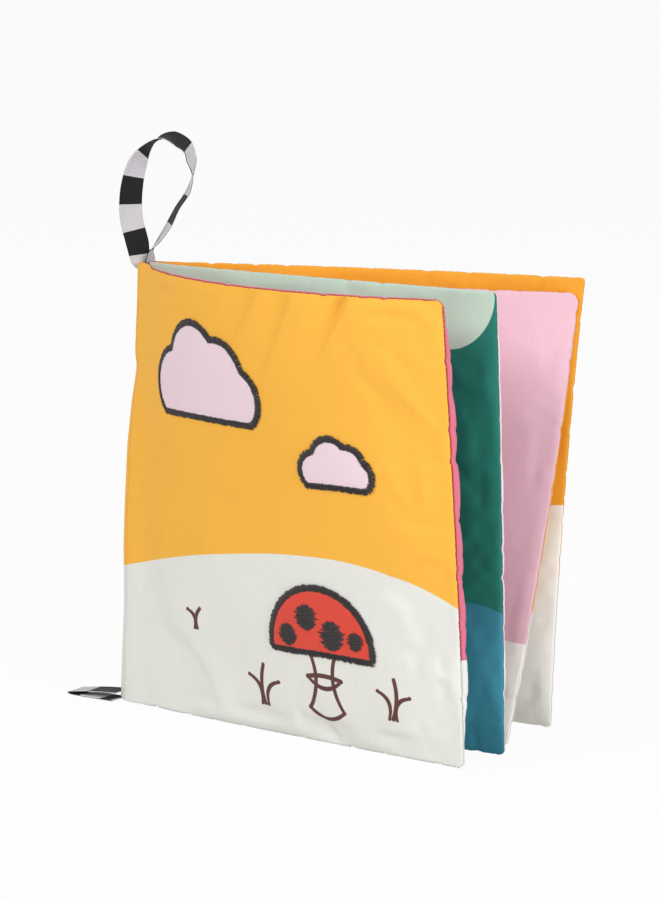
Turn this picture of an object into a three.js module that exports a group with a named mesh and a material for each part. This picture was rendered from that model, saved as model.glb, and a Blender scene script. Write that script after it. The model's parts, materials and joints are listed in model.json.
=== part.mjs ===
// Baby play book: four padded cloth leaves held at a stitched spine, standing half open on their
// lower edges, with a striped ribbon loop at the head and at the foot of the spine.
// Millimetres, +Z up. The origin is at the foot of the spine, the leaves fan out towards +X and the
// front cover faces -Y.

import * as THREE from "three";

// Leaf sizes
const leafLength = 180;
const leafHeight = 180;
const padThickness = 8;
const clothThickness = 0.5;
const clothGap = 0.3;
const seamAllowance = 5;
const cornerRadius = 2.5;
const foreEdgeShoulder = 26;
const headShoulder = 26;
const spineTaper = 60;
const waddingSpineMargin = 12;
const firstLeafRise = 1.5;
const secondLeafDrop = 5.5;

// Spine sizes
const spineDepth = 2.6;
const spineWidth = 4;
const spineStandUp = 1.4;
const spineLeanX = 8.8;
const spineLeanY = 5.1;
const leafHingeGap = 1.25;
const leafHingeOffset = 1.2;
const coverHingeGap = 2.55;
const coverHingeOffset = 3.6;
const hingeLap = 0.3;

// Ribbon sizes
const ribbonWidth = 9.3;
const ribbonThickness = 0.9;
const ribbonSeatGap = 0.3;
const topLoopHeight = 51;
const topLoopReach = 19.5;
const topLoopDepth = 4;
const topLoopTurn = 32;
const bottomLoopLength = 20;
const bottomLoopHeight = 3.6;

// Patch sizes
const patchThickness = 0.6;
const patchGap = 0.3;
const stitchWidth = 2.2;
const stitchHeight = 0.9;
const stitchGap = 0.3;

const colours = {
  orange: 0xf8c15d,
  hotPink: 0xec789b,
  teal: 0x1f7468,
  palePink: 0xeac6d2,
  wadding: 0xf4f2ec,
  patchPink: 0xebd6df,
  felt: 0xe25441,
  thread: 0x463c3d,
  ribbon: 0x26262a,
};

// The directions are degrees from +X, seen from above, where a leaf's lower and upper edge leave
// the spine and where they end. Between them each edge bends evenly.
const leaves = [
  {
    name: "front_cover",
    hingeX: spineDepth / 2 + coverHingeGap,
    hingeY: -coverHingeOffset,
    foot: [-10.5, -7.5],
    head: [-47.5, 17],
    foreEdgeRise: 0,
    front: { name: "outer_panel", colour: colours.orange },
    back: { name: "inner_panel", colour: colours.hotPink },
  },
  {
    name: "first_leaf",
    hingeX: spineDepth / 2 + leafHingeGap,
    hingeY: -leafHingeOffset,
    foot: [-1, -1],
    head: [-15, -3],
    foreEdgeRise: firstLeafRise,
    front: { name: "front_panel", colour: colours.teal },
    back: { name: "back_panel", colour: colours.palePink },
  },
  {
    name: "second_leaf",
    hingeX: spineDepth / 2 + leafHingeGap,
    hingeY: leafHingeOffset,
    foot: [23, -20.5],
    head: [5, 19],
    foreEdgeRise: -secondLeafDrop,
    front: { name: "front_panel", colour: colours.palePink },
    back: { name: "back_panel", colour: colours.orange },
  },
  {
    name: "back_cover",
    hingeX: spineDepth / 2 + coverHingeGap,
    hingeY: coverHingeOffset,
    foot: [34.5, -6.5],
    head: [19.5, 4.5],
    foreEdgeRise: 0,
    front: { name: "inner_panel", colour: colours.orange },
    back: { name: "outer_panel", colour: colours.orange },
  },
];

const group = new THREE.Group();

// Meshes and closed surfaces

function addMesh(parent, name, geometry, colour, roughness = 0.7) {
  geometry.computeVertexNormals();
  const material = new THREE.MeshStandardMaterial({ color: colour, roughness, metalness: 0 });
  const mesh = new THREE.Mesh(geometry, material);
  mesh.name = name;
  parent.add(mesh);
  return mesh;
}

function indexedGeometry(points, triangles) {
  const geometry = new THREE.BufferGeometry().setFromPoints(points);
  geometry.setIndex(triangles);
  return geometry;
}

// A closed body between two sheets of points, given by rows. The first sheet is the one whose
// outside is on the left of its rows as they run away from the spine.
function bodyBetweenSheets(leftSheet, rightSheet) {
  const rows = leftSheet.length;
  const columns = leftSheet[0].length;
  const points = [...leftSheet.flat(), ...rightSheet.flat()];
  const left = (i, j) => i * columns + j;
  const right = (i, j) => rows * columns + i * columns + j;
  const triangles = [];
  const quad = (a, b, c, d) => triangles.push(a, b, c, a, c, d);
  for (let i = 0; i < rows - 1; i++) {
    for (let j = 0; j < columns - 1; j++) {
      quad(left(i, j), left(i, j + 1), left(i + 1, j + 1), left(i + 1, j));
      quad(right(i, j), right(i + 1, j), right(i + 1, j + 1), right(i, j + 1));
    }
    quad(left(i, 0), left(i + 1, 0), right(i + 1, 0), right(i, 0));
    const last = columns - 1;
    quad(left(i, last), right(i, last), right(i + 1, last), left(i + 1, last));
  }
  for (let j = 0; j < columns - 1; j++) {
    quad(left(0, j), right(0, j), right(0, j + 1), left(0, j + 1));
    const end = rows - 1;
    quad(left(end, j), left(end, j + 1), right(end, j + 1), right(end, j));
  }
  return indexedGeometry(points, triangles);
}

// A closed body swept through rings of points, open at its ends unless closed is true.
function bodyThroughRings(rings, closed) {
  const size = rings[0].length;
  const triangles = [];
  const steps = closed ? rings.length : rings.length - 1;
  for (let i = 0; i < steps; i++) {
    const next = (i + 1) % rings.length;
    for (let j = 0; j < size; j++) {
      const k = (j + 1) % size;
      triangles.push(i * size + j, i * size + k, next * size + k);
      triangles.push(i * size + j, next * size + k, next * size + j);
    }
  }
  if (!closed) {
    const end = (rings.length - 1) * size;
    for (let j = 1; j < size - 1; j++) {
      triangles.push(0, j + 1, j);
      triangles.push(end, end + j, end + j + 1);
    }
  }
  return indexedGeometry(rings.flat(), triangles);
}

// The centre surface of a leaf

const { lerp, clamp, degToRad } = THREE.MathUtils;

// A point and a direction on an edge that bends evenly, at a distance along it.
function pointOnEdge([startDegrees, endDegrees], distance) {
  const start = degToRad(startDegrees);
  const turn = (degToRad(endDegrees) - start) * (distance / leafLength);
  const chord = turn === 0 ? distance : (distance * Math.sin(turn / 2)) / (turn / 2);
  const x = chord * Math.cos(start + turn / 2);
  const y = chord * Math.sin(start + turn / 2);
  return { x, y, direction: start + turn };
}

// Rounds the two fore-edge corners: the square corner cell becomes a quarter disc.
function roundCorner(along, up) {
  const overEdge = Math.max(0, along - (leafLength - cornerRadius)) / cornerRadius;
  const overHead = Math.max(0, up - (leafHeight - cornerRadius)) / cornerRadius;
  const overFoot = Math.max(0, cornerRadius - up) / cornerRadius;
  const over = overHead + overFoot;
  const cutAlong = overEdge * (1 - Math.sqrt(1 - over ** 2 / 2));
  const cutUp = over * (1 - Math.sqrt(1 - overEdge ** 2 / 2));
  return [along - cutAlong * cornerRadius, up - Math.sign(overHead - overFoot) * cutUp * cornerRadius];
}

function leafCentre(leaf, squareAlong, squareUp) {
  const [along, up] = roundCorner(squareAlong, squareUp);
  const share = up / leafHeight;
  const foot = pointOnEdge(leaf.foot, along);
  const head = pointOnEdge(leaf.head, along);
  const x = lerp(foot.x, head.x + spineLeanX, share);
  const y = lerp(foot.y, head.y + spineLeanY, share);
  const z = up + leaf.foreEdgeRise * share * (along / leafLength);
  const tangentX = lerp(Math.cos(foot.direction), Math.cos(head.direction), share);
  const tangentY = lerp(Math.sin(foot.direction), Math.sin(head.direction), share);
  const left = new THREE.Vector3(-tangentY, tangentX, 0).normalize();
  return { point: new THREE.Vector3(x, y, z), left };
}

// Half the thickness of the padded leaf: a flat seam round its edge, a round shoulder to each side
// and a long taper towards the spine, where the stitching holds it down.
const seamHalf = clothThickness + clothGap / 2;
const taperPowerShare = 0.8;

function roundShoulder(distance, shoulder) {
  const share = clamp(distance / shoulder, 0, 1);
  return Math.sqrt(1 - (1 - share) ** 2);
}

function leafHalfThickness(along, up) {
  const foreEdge = roundShoulder(leafLength - along, foreEdgeShoulder);
  const ends = roundShoulder(Math.min(up, leafHeight - up), headShoulder);
  const spine = clamp(along / spineTaper, 0, 1) ** taperPowerShare;
  return seamHalf + (padThickness / 2 - seamHalf) * foreEdge * ends * spine;
}

// A point of the leaf, a distance to the left of its centre surface.
function leafPoint(leaf, along, up, offset) {
  const { point, left } = leafCentre(leaf, along, up);
  return point.addScaledVector(left, offset);
}

// Grid lines of a leaf: close together at the seams, wide in the middle

const seamShares = [0, 0.24, 0.5, 1];
const innerSteps = 8;
const crowdingShare = 0.5;

function evenedSteps(start, end, steps, easeStart) {
  const values = [];
  for (let i = 1; i < steps; i++) {
    const share = i / steps;
    const bothEnds = (1 - Math.cos(Math.PI * share)) / 2;
    const farEnd = Math.sin((Math.PI / 2) * share);
    values.push(lerp(start, end, easeStart ? bothEnds : lerp(share, farEnd, crowdingShare)));
  }
  return values;
}

const alongLines = [
  -hingeLap,
  waddingSpineMargin / 2,
  waddingSpineMargin,
  ...evenedSteps(waddingSpineMargin, leafLength - seamAllowance, innerSteps, false),
  ...seamShares.map((share) => leafLength - seamAllowance * share).reverse(),
];
const upLines = [
  ...seamShares.map((share) => seamAllowance * share),
  ...evenedSteps(seamAllowance, leafHeight - seamAllowance, innerSteps, true),
  ...seamShares.map((share) => leafHeight - seamAllowance * share).reverse(),
];
const waddingAlongLines = alongLines.filter(
  (along) => along >= waddingSpineMargin && along <= leafLength - seamAllowance,
);
const waddingUpLines = upLines.filter(
  (up) => up >= seamAllowance && up <= leafHeight - seamAllowance,
);

function leafSheet(leaf, alongs, ups, offsetOf) {
  return alongs.map((along) => ups.map((up) => leafPoint(leaf, along, up, offsetOf(along, up))));
}

// Cloth panel on one side of a leaf: side 1 is the left of the leaf, side -1 the right.
function panelGeometry(leaf, side) {
  const outside = (along, up) => side * leafHalfThickness(along, up);
  const inside = (along, up) =>
    side * Math.max(leafHalfThickness(along, up) - clothThickness, clothGap / 2);
  const outer = leafSheet(leaf, alongLines, upLines, outside);
  const inner = leafSheet(leaf, alongLines, upLines, inside);
  return side > 0 ? bodyBetweenSheets(outer, inner) : bodyBetweenSheets(inner, outer);
}

function waddingGeometry(leaf) {
  const fill = (along, up) => leafHalfThickness(along, up) - clothThickness - clothGap;
  const left = leafSheet(leaf, waddingAlongLines, waddingUpLines, fill);
  const right = leafSheet(leaf, waddingAlongLines, waddingUpLines, (a, u) => -fill(a, u));
  return bodyBetweenSheets(left, right);
}

// The four leaves, each in a group at the foot of its hinge line

const leafGroups = {};
for (const leaf of leaves) {
  const leafGroup = new THREE.Group();
  leafGroup.position.set(leaf.hingeX, leaf.hingeY, 0);
  group.add(leafGroup);
  leafGroups[leaf.name] = leafGroup;
  addMesh(leafGroup, `${leaf.name}_${leaf.front.name}`, panelGeometry(leaf, -1), leaf.front.colour);
  addMesh(leafGroup, `${leaf.name}_${leaf.back.name}`, panelGeometry(leaf, 1), leaf.back.colour);
  addMesh(leafGroup, `${leaf.name}_wadding`, waddingGeometry(leaf), colours.wadding, 0.95);
}

// Spine: the strip of folded cloth that the leaves are stitched to, round at its back

const spineRoundShare = 0.6;

function spineGeometry() {
  const back = -spineDepth / 2;
  const front = spineDepth / 2;
  const corner = Math.min(spineDepth, spineWidth / 2) * spineRoundShare;
  const outline = new THREE.Shape();
  outline.moveTo(front, -spineWidth / 2);
  outline.lineTo(front, spineWidth / 2);
  outline.lineTo(back + corner, spineWidth / 2);
  outline.absarc(back + corner, spineWidth / 2 - corner, corner, Math.PI / 2, Math.PI, false);
  outline.absarc(back + corner, corner - spineWidth / 2, corner, Math.PI, Math.PI * 1.5, false);
  const depth = leafHeight + spineStandUp;
  const strip = new THREE.ExtrudeGeometry(outline, { depth, bevelEnabled: false, curveSegments: 5 });
  const leanX = spineLeanX / leafHeight;
  const leanY = spineLeanY / leafHeight;
  strip.applyMatrix4(new THREE.Matrix4().set(1, 0, leanX, 0, 0, 1, leanY, 0, 0, 0, 1, 0, 0, 0, 0, 1));
  return strip;
}
addMesh(group, "spine_fold", spineGeometry(), colours.orange);

// Ribbon loops: a flat band swept along a curve, its width turning from point to point

// Each row has the place along the curve's plane, out of it and up, and the degrees by which the
// band's width is turned out of that plane.
function ribbonGeometry(rows, steps) {
  const path = new THREE.CatmullRomCurve3(rows.map((row) => row.point), false, "centripetal");
  const rings = [];
  for (let i = 0; i <= steps; i++) {
    const share = i / steps;
    const place = share * (rows.length - 1);
    const before = Math.min(Math.floor(place), rows.length - 2);
    const turn = degToRad(lerp(rows[before].turn, rows[before + 1].turn, place - before));
    const tilt = lerp(rows[before].tilt, rows[before + 1].tilt, place - before);
    const centre = path.getPoint(share);
    const tangent = path.getTangent(share);
    const across = new THREE.Vector3(Math.cos(turn), Math.sin(turn), Math.tan(degToRad(tilt)));
    across.addScaledVector(tangent, -across.dot(tangent)).normalize();
    const outward = new THREE.Vector3().crossVectors(tangent, across).normalize();
    const corner = (a, o) =>
      centre
        .clone()
        .addScaledVector(across, (a * ribbonWidth) / 2)
        .addScaledVector(outward, (o * ribbonThickness) / 2);
    rings.push([corner(-1, -1), corner(1, -1), corner(1, 1), corner(-1, 1)]);
  }
  return bodyThroughRings(rings, false);
}

// Top loop: it stands up from the head of the spine, face on at its left strand and edge on at its
// right one. Shares of its reach to the right, its depth and its height, then the turn and the tilt.
const topLoopShares = [
  [-0.1, -0.13, 0, 0, 0],
  [-0.14, -0.3, 0.14, 0, 0],
  [-0.26, -0.6, 0.35, 8, 0],
  [-0.25, -0.9, 0.56, 18, 0],
  [-0.13, -0.9, 0.76, 34, 0],
  [0.07, -0.6, 0.89, 62, 0],
  [0.34, 0, 0.98, 86, 0],
  [0.65, 0.6, 1, 88, 38],
  [0.9, 1, 0.93, 78, 30],
  [0.99, 1, 0.79, 68, 8],
  [1, 0.9, 0.68, 84, 0],
  [0.9, 0.7, 0.54, 100, 0],
  [0.68, 0.5, 0.41, 98, 0],
  [0.52, 0.4, 0.29, 80, 0],
  [0.3, 0.3, 0.16, 55, 0],
  [0.14, 0.2, 0.08, 24, 0],
  [0.08, 0.13, 0, 0, 0],
];
const topLoopSteps = 48;

function topLoopRows() {
  return topLoopShares.map(([reach, depth, height, turn, tilt]) => ({
    point: new THREE.Vector3(reach * topLoopReach, depth * topLoopDepth, height * topLoopHeight),
    turn,
    tilt,
  }));
}

const headOfSpine = new THREE.Vector3(spineLeanX, spineLeanY, leafHeight);
const topLoopBand = ribbonGeometry(topLoopRows(), topLoopSteps);
const topLoop = addMesh(group, "top_ribbon_loop", topLoopBand, colours.ribbon);
topLoop.position.copy(headOfSpine);
topLoop.position.z += spineStandUp + ribbonSeatGap;
topLoop.rotation.z = degToRad(topLoopTurn);

// Bottom loop: it lies flat behind the foot of the spine. Shares of its length and its height.
const bottomLoopShares = [
  [0, 0],
  [0.25, 0],
  [0.55, 0],
  [0.8, 0],
  [0.93, 0.05],
  [1, 0.28],
  [0.93, 0.5],
  [0.8, 0.62],
  [0.55, 0.8],
  [0.25, 0.95],
  [0, 1],
];
const bottomLoopSteps = 32;

function bottomLoopRows() {
  const rise = bottomLoopHeight - ribbonThickness;
  return bottomLoopShares.map(([out, up]) => ({
    point: new THREE.Vector3(-out * bottomLoopLength, 0, up * rise),
    turn: 90,
    tilt: 0,
  }));
}

const bottomLoop = addMesh(
  group,
  "bottom_ribbon_loop",
  ribbonGeometry(bottomLoopRows(), bottomLoopSteps),
  colours.ribbon,
);
bottomLoop.position.set(-spineDepth / 2 - ribbonSeatGap, 0, ribbonThickness / 2);

// Patches sewn on the front cover: two clouds and a toadstool's cap, each with a band of stitching.
// A patch has its place on the cover as shares of the leaf's length and height, and its width as a
// share of the length.

// How far a ray at an angle from the middle of a patch runs before it leaves the last of its discs.
function farthestDisc(angle, discs) {
  const alongRay = (x, y) => x * Math.cos(angle) + y * Math.sin(angle);
  const asideRay = (x, y) => y * Math.cos(angle) - x * Math.sin(angle);
  let reach = 0;
  for (const [x, y, radius] of discs) {
    const aside = asideRay(x, y);
    if (Math.abs(aside) < radius)
      reach = Math.max(reach, alongRay(x, y) + Math.sqrt(radius ** 2 - aside ** 2));
  }
  return reach;
}

// Shares of half the patch's width: discs, and the level of its flat base.
const cloudDiscShares = [
  [-0.56, -0.08, 0.44],
  [-0.12, 0.2, 0.52],
  [0.36, 0.12, 0.44],
  [0.62, -0.12, 0.38],
  [0.06, -0.3, 0.4],
];
const cloudBaseShare = 0.42;
const capDiscShares = [
  [0, -0.3, 1.02],
  [-0.66, -0.14, 0.32],
  [0.66, -0.14, 0.32],
];
const capBaseShare = 0.36;

const patches = [
  {
    name: "large_cloud",
    placeShares: [0.356, 0.772],
    widthShare: 0.367,
    discs: cloudDiscShares,
    baseShare: cloudBaseShare,
    colour: colours.patchPink,
  },
  {
    name: "small_cloud",
    placeShares: [0.728, 0.622],
    widthShare: 0.189,
    discs: cloudDiscShares,
    baseShare: cloudBaseShare,
    colour: colours.patchPink,
  },
  {
    name: "toadstool_cap",
    placeShares: [0.644, 0.256],
    widthShare: 0.278,
    discs: capDiscShares,
    baseShare: capBaseShare,
    colour: colours.felt,
  },
];
const outlineSteps = 40;
const patchRingShares = [0.34, 0.68, 1];

function patchReach(patch, angle) {
  const halfWidth = (patch.widthShare * leafLength) / 2;
  const reach = halfWidth * farthestDisc(angle, patch.discs);
  const down = -Math.sin(angle);
  return down > 0 ? Math.min(reach, (patch.baseShare * halfWidth) / down) : reach;
}

// A point over the outside of the front cover, a distance from the middle of a patch.
function pointOverCover(patch, angle, distance, lift) {
  const [cover] = leaves;
  const [alongShare, upShare] = patch.placeShares;
  const along = alongShare * leafLength + distance * Math.cos(angle);
  const up = upShare * leafHeight + distance * Math.sin(angle);
  return leafPoint(cover, along, up, -leafHalfThickness(along, up) - lift);
}

function patchGeometry(patch) {
  const points = [];
  const triangles = [];
  const rings = patchRingShares.length;
  const edgeTrim = stitchWidth / 2 + stitchGap;
  for (const lift of [patchGap, patchGap + patchThickness]) {
    points.push(pointOverCover(patch, 0, 0, lift));
    for (const ringShare of patchRingShares) {
      for (let k = 0; k < outlineSteps; k++) {
        const angle = (k / outlineSteps) * 2 * Math.PI;
        const distance = (patchReach(patch, angle) - edgeTrim) * ringShare;
        points.push(pointOverCover(patch, angle, distance, lift));
      }
    }
  }
  const layer = rings * outlineSteps + 1;
  const at = (top, ring, k) => top * layer + 1 + ring * outlineSteps + (k % outlineSteps);
  for (let k = 0; k < outlineSteps; k++) {
    triangles.push(0, at(0, 0, k + 1), at(0, 0, k));
    triangles.push(layer, at(1, 0, k), at(1, 0, k + 1));
    for (let ring = 0; ring < rings - 1; ring++) {
      triangles.push(at(0, ring, k), at(0, ring, k + 1), at(0, ring + 1, k + 1));
      triangles.push(at(0, ring, k), at(0, ring + 1, k + 1), at(0, ring + 1, k));
      triangles.push(at(1, ring, k), at(1, ring + 1, k + 1), at(1, ring, k + 1));
      triangles.push(at(1, ring, k), at(1, ring + 1, k), at(1, ring + 1, k + 1));
    }
    const edge = rings - 1;
    triangles.push(at(0, edge, k), at(0, edge, k + 1), at(1, edge, k + 1));
    triangles.push(at(0, edge, k), at(1, edge, k + 1), at(1, edge, k));
  }
  return indexedGeometry(points, triangles);
}

// A band of satin stitching over the edge of a patch: flat below, crowned above.
function stitchingGeometry(patch) {
  const rings = [];
  for (let k = 0; k < outlineSteps; k++) {
    const angle = (k / outlineSteps) * 2 * Math.PI;
    const reach = patchReach(patch, angle);
    const point = (aside, lift) => pointOverCover(patch, angle, reach + aside, patchGap + lift);
    rings.push([
      point(-stitchWidth / 2, 0),
      point(-stitchWidth / 4, stitchHeight),
      point(stitchWidth / 4, stitchHeight),
      point(stitchWidth / 2, 0),
    ]);
  }
  return bodyThroughRings(rings, true);
}

for (const patch of patches) {
  const cover = leafGroups.front_cover;
  addMesh(cover, `${patch.name}_patch`, patchGeometry(patch), patch.colour, 0.85);
  addMesh(cover, `${patch.name}_stitching`, stitchingGeometry(patch), colours.thread, 0.6);
}

export default group;
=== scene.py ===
import json
import math

import bpy
import numpy as np
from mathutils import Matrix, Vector

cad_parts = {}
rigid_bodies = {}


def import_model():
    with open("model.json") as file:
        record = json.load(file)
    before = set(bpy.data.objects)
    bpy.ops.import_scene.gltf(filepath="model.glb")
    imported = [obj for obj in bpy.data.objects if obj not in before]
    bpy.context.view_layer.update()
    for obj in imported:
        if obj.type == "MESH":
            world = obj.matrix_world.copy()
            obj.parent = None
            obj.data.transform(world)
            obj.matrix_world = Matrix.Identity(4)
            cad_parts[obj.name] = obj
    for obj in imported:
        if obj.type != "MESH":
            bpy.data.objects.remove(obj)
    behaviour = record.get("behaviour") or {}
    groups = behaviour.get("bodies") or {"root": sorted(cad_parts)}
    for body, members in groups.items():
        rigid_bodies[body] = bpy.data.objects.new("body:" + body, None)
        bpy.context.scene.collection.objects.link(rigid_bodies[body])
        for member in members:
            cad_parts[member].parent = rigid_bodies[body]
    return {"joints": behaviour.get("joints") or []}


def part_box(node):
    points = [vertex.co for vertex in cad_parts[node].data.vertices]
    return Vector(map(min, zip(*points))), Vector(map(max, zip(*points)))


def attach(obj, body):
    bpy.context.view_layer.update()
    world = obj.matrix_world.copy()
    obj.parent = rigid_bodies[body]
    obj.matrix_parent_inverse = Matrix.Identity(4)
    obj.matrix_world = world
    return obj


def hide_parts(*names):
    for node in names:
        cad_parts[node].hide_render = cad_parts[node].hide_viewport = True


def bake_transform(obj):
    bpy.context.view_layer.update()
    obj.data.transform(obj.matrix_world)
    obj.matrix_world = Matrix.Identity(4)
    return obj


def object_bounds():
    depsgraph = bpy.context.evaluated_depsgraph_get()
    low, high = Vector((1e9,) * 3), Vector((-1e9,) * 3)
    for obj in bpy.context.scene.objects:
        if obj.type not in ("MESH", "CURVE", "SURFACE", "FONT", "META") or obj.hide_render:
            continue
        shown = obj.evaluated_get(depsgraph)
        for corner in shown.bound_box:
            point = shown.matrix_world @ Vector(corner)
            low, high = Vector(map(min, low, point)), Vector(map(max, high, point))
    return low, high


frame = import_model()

cad_low, cad_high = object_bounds()
scene = bpy.context.scene


# Studio: the camera stands where the photograph was taken from, low in front of the fore-edge of
# the cover, with a long lens. The book stands on a plain white floor in soft light.

camera_place = Vector((0.87718, -1.24336, 0.34064))
camera_turn, camera_tilt = math.radians(32), math.radians(8.89)
camera_sensor_mm = 36
photo_height_px, camera_focus_px = 900, 3781
middle_of_book = (cad_low + cad_high) / 2
lamps = {
    "window": dict(offset=(-0.6, -1.6, 1.3), size=0.8, watts=21, colour=(1, 0.99, 0.97)),
    "fill": dict(offset=(1.95, -0.7, 0.4), size=1.2, watts=26, colour=(1, 1, 1)),
    "top": dict(offset=(0.2, 0.5, 1.9), size=1.4, watts=8, colour=(1, 1, 1)),
}
room_light = 0.34
floor_half = 30
floor_white = (0.85, 0.85, 0.85, 1)
floor_glow_share = 0.94


def add_object(name, data):
    made = bpy.data.objects.new(name, data)
    scene.collection.objects.link(made)
    return made


def mesh_object(name, points, faces, uv=None, material=None):
    """A smooth mesh object at the origin. uv holds one pair for each point."""
    mesh = bpy.data.meshes.new(name)
    mesh.from_pydata(np.asarray(points).tolist(), [], [[int(i) for i in face] for face in faces])
    if uv is not None:
        layer = mesh.uv_layers.new(name="cloth")
        corner_points = np.zeros(len(mesh.loops), int)
        mesh.loops.foreach_get("vertex_index", corner_points)
        layer.data.foreach_set("uv", np.asarray(uv)[corner_points].ravel())
    mesh.shade_smooth()
    if material:
        mesh.materials.append(material)
    return add_object(name, mesh)


class Output:
    """What a node gives, in a form with which sums can be written."""

    def __init__(self, nodes, socket):
        self.nodes, self.socket = nodes, socket

    def __add__(self, other):
        return self.nodes.sum("ADD", self, other)

    def __sub__(self, other):
        return self.nodes.sum("SUBTRACT", self, other)

    def __rsub__(self, other):
        return self.nodes.sum("SUBTRACT", other, self)

    def __mul__(self, other):
        return self.nodes.sum("MULTIPLY", self, other)

    def __truediv__(self, other):
        return self.nodes.sum("DIVIDE", self, other)


class Nodes:
    """The nodes of a material, of the world or of a node group, made one after another."""

    def __init__(self, tree):
        self.tree = tree
        tree.nodes.clear()

    def node(self, kind, *inputs, named=(), out=0, **settings):
        """A node with its inputs in order or by name: numbers, colours and outputs of others."""
        made = self.tree.nodes.new(kind)
        for setting, value in settings.items():
            setattr(made, setting, value)
        for socket, value in [*enumerate(inputs), *dict(named).items()]:
            if isinstance(value, Output):
                self.tree.links.new(value.socket, made.inputs[socket])
            elif value is not None:
                made.inputs[socket].default_value = value
        return Output(self, made.outputs[out]) if made.outputs else made

    def sum(self, operation, *inputs):
        return self.node("ShaderNodeMath", *inputs, operation=operation)

    def noise(self, place, *scale_and_detail):
        return self.node("ShaderNodeTexNoise", place, None, *scale_and_detail)

    def mixed(self, share, first, second):
        """One colour over another, by a share."""
        return self.node("ShaderNodeMix", named={0: share, 6: first, 7: second}, out=2,
                         data_type="RGBA")

    def step(self, value, edge, softness):
        """0 below an edge and 1 above it, with a soft change."""
        return self.node("ShaderNodeMapRange", value, edge - softness, edge + softness, 0.0, 1.0)

    def distance(self, x, y):
        return self.sum("SQRT", x * x + y * y)

    def cloth_place(self):
        """The place on a cloth, and its two parts: along the cloth and up it."""
        place = self.node("ShaderNodeUVMap", uv_map="cloth")
        return place, *[self.node("ShaderNodeSeparateXYZ", place, out=axis) for axis in (0, 1)]

    def finish(self, colour, value, height, relief, **principled):
        """The surface: a colour made lighter and darker by a value, with a fine relief."""
        tinted = self.node("ShaderNodeHueSaturation", 0.5, 1.0, value, 1.0, colour)
        bump = self.node("ShaderNodeBump", *relief, None, height)
        named = {socket.replace("_", " "): amount for socket, amount in principled.items()}
        named.update({"Base Color": tinted, "Normal": bump})
        self.node("ShaderNodeOutputMaterial", self.node("ShaderNodeBsdfPrincipled", named=named))


def new_material(name):
    material = bpy.data.materials.new(name)
    material.use_nodes = True
    return material, Nodes(material.node_tree)


camera_data = bpy.data.cameras.new("camera")
camera_data.sensor_width = camera_sensor_mm
camera_data.lens = camera_sensor_mm * camera_focus_px / photo_height_px
camera = add_object("camera", camera_data)
camera.location = camera_place
camera.rotation_euler = (math.pi / 2 - camera_tilt, 0, camera_turn)
scene.camera = camera
scene.view_settings.view_transform = "Standard"

for lamp_name, lamp in lamps.items():
    light = bpy.data.lights.new(lamp_name, "AREA")
    light.size, light.energy, light.color = lamp["size"], lamp["watts"], lamp["colour"]
    lamp_object = add_object(lamp_name, light)
    lamp_object.location = middle_of_book + Vector(lamp["offset"])
    towards = middle_of_book - lamp_object.location
    lamp_object.rotation_euler = towards.to_track_quat("-Z", "Y").to_euler()

world = bpy.data.worlds.new("white_room")
world.use_nodes = True
scene.world = world
room = Nodes(world.node_tree)
seen = room.sum("MAXIMUM", *[room.node("ShaderNodeLightPath", out=ray)
                             for ray in ("Is Camera Ray", "Is Glossy Ray")])
strength = room.node("ShaderNodeMapRange", seen, 0.0, 1.0, room_light, 1.0)
room.node("ShaderNodeOutputWorld", room.node("ShaderNodeBackground", (1, 1, 1, 1), strength))

floor_material, paper = new_material("white_floor")
glow_share = paper.node("ShaderNodeLightPath", out="Is Camera Ray") * floor_glow_share
plain_paper = paper.node("ShaderNodeBsdfDiffuse", floor_white)
paper.node("ShaderNodeOutputMaterial", paper.node(
    "ShaderNodeMixShader", glow_share, plain_paper, paper.node("ShaderNodeEmission")))
floor_corners = [(x * floor_half, y * floor_half, cad_low.z)
                 for x, y in ((-1, -1), (1, -1), (1, 1), (-1, 1))]
mesh_object("floor", floor_corners, [(0, 1, 2, 3)], material=floor_material)


# Leaves: four square pads of printed satin. Each is two cloths sewn together round three sides,
# turned right side out over loft wadding, and held flat along the spine. They stand bowed.

leaf_side = round(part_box("front_cover_outer_panel")[1].z, 4)
pad_thickness = 0.008
seam_half = 0.0004
pad_shoulder = 0.026
spine_taper, spine_taper_power = 0.060, 0.8
rise_power = 2.2

hinge_of = {joint["child"]: joint for joint in frame["joints"]}
lean_axis = Vector(hinge_of["back_cover"]["axis"])
spine_lean = lean_axis / lean_axis.z * leaf_side

# The directions, in degrees from +X, in which the lower and the upper edge leave the spine and
# end, how much higher the free corner stands, how round the corners are, how far half way up the
# fore-edge swells outward and to the left, how far the back cloth rolls out over the seam at the
# fore-edge and at the head, how far the seam lies towards the front, and how deep its groove is.
bow_parts = "foot head rise corner swell fore_lip head_lip seam_shift groove".split()
leaf_bows = {leaf: dict(zip(bow_parts, bow)) for leaf, *bow in (
    ("front_cover", (-10.5, -7.5), (-47.5, 17), 0, 0.0028, (0, 0.0018), 0.0030, 0.0009, 0.0015,
     0.0006),
    ("first_leaf", (-1, -1), (-15, -3), 0.0015, 0.0022, (0.0005, 0), 0.0012, 0.0004, 0.0006, 0),
    ("second_leaf", (23, -20.5), (5, 19), -0.0055, 0.0045, (0.0019, 0), 0.0007, 0.0003, 0.0004, 0),
    ("back_cover", (34.5, -6.5), (19.5, 4.5), 0, 0.0014, (-0.0017, 0), 0.0003, 0.0002, 0.0003, 0),
)}


def point_on_edge(headings, distance):
    start, end = np.radians(headings)
    turn = (end - start) * distance / leaf_side
    chord = distance * np.sinc(turn / 2 / np.pi)
    return chord * np.cos(start + turn / 2), chord * np.sin(start + turn / 2), start + turn


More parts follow.
